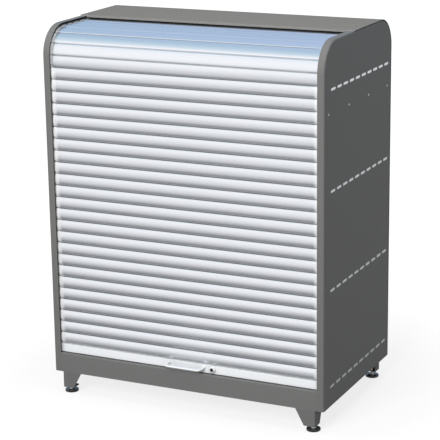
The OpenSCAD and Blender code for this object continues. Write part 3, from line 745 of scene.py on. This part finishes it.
# Shutter: hooked slats, straight below and laid round the bend above

PITCH = 40
CROWN, VALLEY = 6.4, 3.6
SLAT_WALL = 1.3
LOW_ROLL, HIGH_ROLL, ROLL_D = 9.0, 3.5, 1.6
EDGE_DROP, WEB_DROP = 4.0, 5.8
BACK_STEP, WEB_LAP = 0.5, 0.2
NECK = 0.6
BEAD_R = 1.8
HOOK_IN, HOOK_OUT = 2.1, 3.1
HOOK_START, HOOK_END = -32, 238
HOOK_INSET = 0.5
UPPER_SKIRT, LOWER_SKIRT = 3.2, 1.2
HINGE_Y = SLATS_LOW.y + CROWN
RAIL_PIVOT = RAIL_HIGH.z - BEAD_R
BEND_R = 81.5
PATH_DROP = 18.5
PATH_TOP = COVER_HIGH.z - PATH_DROP
BEND_Z = PATH_TOP - BEND_R
ARC_LENGTH = BEND_R * math.pi / 2
UPPER_SLATS = 10
SETTLING = 12


def slat_outlines(low):
    """The slat's wall with its two webs, neck and bead, its cell, and the ring of its hook; the lower
    hinge line is at the origin, the front is to the left, and low is how far the wall reaches down."""
    high = PITCH - EDGE_DROP
    back = HOOK_OUT - BACK_STEP
    web_low, web_high = HOOK_OUT - WEB_LAP, PITCH - WEB_DROP
    mid, half, bow = (low + high) / 2, (high - low) / 2, CROWN - VALLEY
    front_r = (half * half + bow * bow) / (2 * bow)
    inner_r = front_r - SLAT_WALL

    def roll(z):
        """How far the long edges curl in, more gently at the lower one."""
        near_low = min(1.0, max(0.0, 1 - (z - low) / LOW_ROLL))
        near_high = min(1.0, max(0.0, 1 - (high - z) / HIGH_ROLL))
        return ROLL_D * (2 - math.sqrt(1 - near_low ** 2) - math.sqrt(1 - near_high ** 2))

    def skin(radius, start, end, steps=8):
        """Points on the crowned front or on the wall's inner face, between two heights."""
        heights = [start + (end - start) * i / steps for i in range(steps + 1)]
        return [(front_r - CROWN - math.sqrt(radius * radius - (z - mid) ** 2) + roll(z), z) for z in heights]

    bead_low = math.degrees(math.asin(math.sqrt(BEAD_R ** 2 - NECK ** 2) / BEAD_R))
    wall = (skin(front_r, low, low + LOW_ROLL) + skin(front_r, low + LOW_ROLL + 1, high - HIGH_ROLL - 1, 12)
            + skin(front_r, high - HIGH_ROLL, high, 6) + skin(inner_r, high, web_high, 2)
            + [(-NECK, web_high)]
            + arc((0, PITCH), BEAD_R, 180 + bead_low, -bead_low, 14)
            + [(NECK, web_high), (back, web_high), (back, web_low)]
            + skin(inner_r, web_low, low, 2))
    cell = (skin(inner_r, web_low + SLAT_WALL, web_high - SLAT_WALL, 12)
            + [(back - SLAT_WALL, web_high - SLAT_WALL), (back - SLAT_WALL, web_low + SLAT_WALL)])
    hook = arc((0, 0), HOOK_OUT, HOOK_START, HOOK_END, 22) + arc((0, 0), HOOK_IN, HOOK_END, HOOK_START, 22)
    return [wall, cell], [hook]


def path_at(s):
    """Point of the hinge line's path at a distance past the start of the front bend."""
    if s < 0:
        return Vector((HINGE_Y, BEND_Z + s))
    if s < ARC_LENGTH:
        a = s / BEND_R
        return Vector((HINGE_Y + BEND_R * (1 - math.cos(a)), BEND_Z + BEND_R * math.sin(a)))
    return Vector((HINGE_Y + BEND_R + s - ARC_LENGTH, PATH_TOP))


def upper_hinges():
    """Hinge lines a straight pitch apart along the path, each settled in a few steps."""
    lower = math.floor((BEND_Z - RAIL_PIVOT) / PITCH)
    s = RAIL_PIVOT + lower * PITCH - BEND_Z
    hinges = [path_at(s)]
    for _ in range(UPPER_SLATS):
        s += PITCH
        for _ in range(SETTLING):
            s += PITCH - (path_at(s) - hinges[-1]).length
        hinges.append(path_at(s))
    return hinges


def slats(name, hinges, skirt, material, body, node):
    """A slat between each two hinge lines, as one piece; its wall hangs skirt below the lower line."""
    end = SLATS_HIGH.x
    bm = bmesh.new()
    for low, high in zip(hinges, hinges[1:]):
        run = high - low
        turn = Matrix.Rotation(math.atan2(run.y, run.x) - math.pi / 2, 2)
        for loops, inset in zip(slat_outlines(-skirt), (0.0, HOOK_INSET)):
            placed = [[tuple(low + turn @ Vector(p)) for p in loop] for loop in loops]
            add_prism(bm, placed, "x", -end + inset, end - inset)
    return piece(name, bm, material, body, [node], bevel=0.25, angle=40)


UPPER_HINGES = upper_hinges()
LOWER_COUNT = round((UPPER_HINGES[0].y - RAIL_PIVOT) / PITCH)
LOWER_HINGES = [Vector((HINGE_Y, RAIL_PIVOT + k * PITCH)) for k in range(LOWER_COUNT + 1)]
slats("upper_curtain", UPPER_HINGES, UPPER_SKIRT, BEND_METAL, "cabinet", "upper_slats_set")
LOWER = slats("lower_curtain", LOWER_HINGES, LOWER_SKIRT, SLAT_METAL, "shutter", "lower_slats_set")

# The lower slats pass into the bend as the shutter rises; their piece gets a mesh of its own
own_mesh(LOWER)


# Handle and lock

GRIP_R = 6
GRIP_BEND = 14
GRIP_DROOP = 5
GRIP_SINK = 1.0
HANDLE_RISE = 22


def handle_bow():
    """The bow, which leans down a little from the rail, and the collars that it stands on."""
    low, high = box_of("handle")
    half = high.x - GRIP_R
    rail_y, foot_z = RAIL_LOW.y, PLINTH_HIGH.z + HANDLE_RISE
    reach_y = rail_y - (low.y + GRIP_R)
    lean = math.asin(GRIP_DROOP / reach_y)
    reach = reach_y / math.cos(lean)
    plane = [(half, -GRIP_SINK), (half, reach), (-half, reach), (-half, -GRIP_SINK)]
    out = Vector((0, -math.cos(lean), -math.sin(lean)))
    line = [Vector((p.x, rail_y, foot_z)) + out * p.y for p in rounded(plane, GRIP_BEND, 10)]
    collar = [(2, 0), (7, 0), (7, -2.0), (6.6, -2.7), (6.1, -3.0), (2, -3.0)]
    bm = bmesh.new()
    add_bar(bm, line, GRIP_R, out.cross(Vector((1, 0, 0))), 28)
    for side in (-1, 1):
        add_turned(bm, collar, (side * half, rail_y, foot_z), "y", steps=32)
    piece("handle_bow", bm, CHROME, "shutter", ["handle"], angle=40)


def lock_barrel():
    """The lock's housing: a flange on the rail, a ring in front of it and the barrel behind."""
    low, high = box_of("lock_housing")
    centre = ((low.x + high.x) / 2, 0, (low.z + high.z) / 2)
    bore, barrel, flange = 6.0, 7.85, (high.x - low.x) / 2
    rail_y, front, back = RAIL_LOW.y, low.y, high.y
    profile = [(bore, back), (bore, front + 0.5), (bore + 0.4, front), (barrel - 0.5, front),
               (barrel, front + 0.4), (barrel, front + 1.0), (flange - 0.9, front + 1.0),
               (flange - 0.25, front + 1.3), (flange, front + 1.9), (flange, rail_y), (barrel, rail_y),
               (barrel, back)]
    bm = bmesh.new()
    add_turned(bm, profile, centre, "y", bore=True, steps=56)
    piece("lock_barrel", bm, CHROME, "shutter", ["lock_housing"])


handle_bow()
lock_barrel()


# Legs and feet

LEG_LOW, LEG_HIGH = box_of("leg_front_right")
PAD_LOW, PAD_HIGH = box_of("foot_pad_front_right")
ROD_LOW, ROD_HIGH = box_of("spindle_front_right")
FOOT = (PAD_LOW + PAD_HIGH) / 2
LEG_SHEET = 3
LEG_BEND = LEG_SHEET + 1.5
LEG_BASE = 40
PLATE_CORNER = 3.0
BOLT_X = (22, 50)
BOLT_Y = 42
BOLT_R = 3
FOOT_HOLE_R = 5.5
THREAD_PITCH = 1.5
THREAD_DEPTH = 0.8
THREAD_SIDES = 24
RINGS_PER_TURN = 6
HEX_W, HEX_H = 17, 3.7
HEX_SINK = 0.5


def at_corner(left, rear):
    """Puts a drawing for the front right corner at any of the four corners."""
    turn = Matrix.Diagonal((-1 if left else 1, -1 if rear else 1, 1, 1))
    return Matrix.Translation((0, BACK_HIGH.y if rear else 0, 0)) @ turn


def leg_shell(name, turn):
    """Folded leg: front plate and side wing in one sheet, with a top plate and a foot plate."""
    side = LEG_HIGH.x
    rings = []
    for z, inner, wing in ((0, LEG_LOW.x, LEG_HIGH.y), (LEG_LOW.z, side - LEG_BASE, LEG_BASE)):
        outline = folded_sheet([(inner, 0), (side, 0), (side, wing)], LEG_SHEET, LEG_BEND)
        rings.append([(x, y, z) for x, y in outline])
    bm = bmesh.new()
    add_loft(bm, rings)
    bolt_holes = [(side - x, BOLT_Y, BOLT_R) for x in BOLT_X]
    foot_holes = [(FOOT.x, FOOT.y, FOOT_HOLE_R)]
    for low, inner, depth, holes in ((-LEG_SHEET, LEG_LOW.x, LEG_HIGH.y, bolt_holes),
                                     (LEG_LOW.z, side - LEG_BASE, LEG_BASE, foot_holes)):
        outline = [(inner, LEG_SHEET), (side - LEG_SHEET, LEG_SHEET), (side - LEG_SHEET, depth),
                   *arc((inner + PLATE_CORNER, depth - PLATE_CORNER), PLATE_CORNER, 90, 180, 4)]
        loops = [outline] + [circle_loop(x, y, r) for x, y, r in holes]
        add_prism(bm, loops, "z", low, low + LEG_SHEET)
    piece(name + "_shell", bm, LEG_PAINT, "cabinet", [name], bevel=0.5, turn=turn)


def foot_shell(name, body, turn):
    """The foot's round pad, with a rolled rim and a shallow cone up to its hub."""
    radius, rise = (PAD_HIGH.x - PAD_LOW.x) / 2, PAD_HIGH.z - PAD_LOW.z
    shoulder = rise - 1.5
    sole_r, rim_r, cone_r, hub_r, bore = 1.6, 1.8, 1.2, 8, 5.3
    profile = [(radius - 2.5, 0), *arc((radius - sole_r, sole_r), sole_r, -70, 0, 4),
               *arc((radius - rim_r, shoulder - rim_r), rim_r, 0, 80, 5),
               (radius * 0.72, shoulder + 0.1),
               *arc((radius * 0.6, rise - cone_r), cone_r, 10, 90, 3), (hub_r, rise), (bore, rise - 0.4)]
    bm = bmesh.new()
    add_turned(bm, profile, (FOOT.x, FOOT.y, PAD_LOW.z), "z", steps=64)
    piece(name + "_disc", bm, FOOT_BLACK, body, [name], turn=turn)


def threaded_spindle(name, body, turn):
    """A rod with a real thread, each ring's radius following the helix, and the hexagon at its foot that
    a spanner turns."""
    radius = (ROD_HIGH.x - ROD_LOW.x) / 2
    step = THREAD_PITCH / RINGS_PER_TURN
    count = math.floor((ROD_HIGH.z - ROD_LOW.z) / step)
    rings = []
    for i in range(count + 1):
        ring = []
        for k in range(THREAD_SIDES):
            phase = (i / RINGS_PER_TURN - k / THREAD_SIDES) % 1
            r = radius - THREAD_DEPTH * abs(2 * phase - 1)
            if i in (0, count):
                r = radius - THREAD_DEPTH
            a = 2 * math.pi * k / THREAD_SIDES
            ring.append((FOOT.x + r * math.cos(a), FOOT.y + r * math.sin(a), ROD_LOW.z + i * step))
        rings.append(ring)
    bm = bmesh.new()
    add_loft(bm, rings)
    hexagon = circle_loop(FOOT.x, FOOT.y, HEX_W / math.sqrt(3), 6)
    add_prism(bm, [hexagon], "z", PAD_HIGH.z - HEX_SINK, PAD_HIGH.z + HEX_H)
    piece(name + "_thread", bm, BRIGHT_ZINC, body, [name], turn=turn, angle=80)


for rear, depth_word in ((False, "front"), (True, "rear")):
    for left, side_word in ((True, "left"), (False, "right")):
        corner_name = depth_word + "_" + side_word
        turn = at_corner(left, rear)
        leg_shell("leg_" + corner_name, turn)
        foot_shell("foot_pad_" + corner_name, "foot_" + corner_name, turn)
        threaded_spindle("spindle_" + corner_name, "foot_" + corner_name, turn)


# CAD nodes that stay, with their finish and softened edges

NODE_FINISH = {
    "back_panel": SIDE_PAINT, "floor_pan": SIDE_PAINT, "rail_seal": RUBBER, "bottom_rail": RAIL_METAL,
    "tail_bar": RAIL_METAL, "rail_cap_left": BLACK, "rail_cap_right": BLACK,
    "guide_left": GUIDE_GREY, "guide_right": GUIDE_GREY, "balance_wheels": BLACK, "lock_plug": LOCK_SHADE_BLACK,
}
# The shelf rails show through the slots; their zinc is painted darker row by row towards the bottom, as
# painted shade
RAIL_SHADE_TONES = (0.52, 0.66, 0.80, 0.95)
for row, tone in enumerate(RAIL_SHADE_TONES, start=1):
    finish = shaded_rail_zinc(row, tone)
    for side_word in ("left", "right"):
        NODE_FINISH[f"shelf_rail_{side_word}_{row}"] = finish
STEEL_NODES = ("lock_", "handle_screws", "leg_nuts", "leg_bolts", "latch_rod", "balance_spring")
JOIN_GAP = 0.02
NODE_ROUNDING = 0.4
for name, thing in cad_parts.items():
    finish = NODE_FINISH.get(name)
    if finish is None:
        finish = PLATED if name.startswith(STEEL_NODES) else ZINC
    thing.data.materials.clear()
    thing.data.materials.append(finish)
    weld = thing.modifiers.new("joined_corners", "WELD")
    weld.merge_threshold = JOIN_GAP * MM
    soften(thing, NODE_ROUNDING)
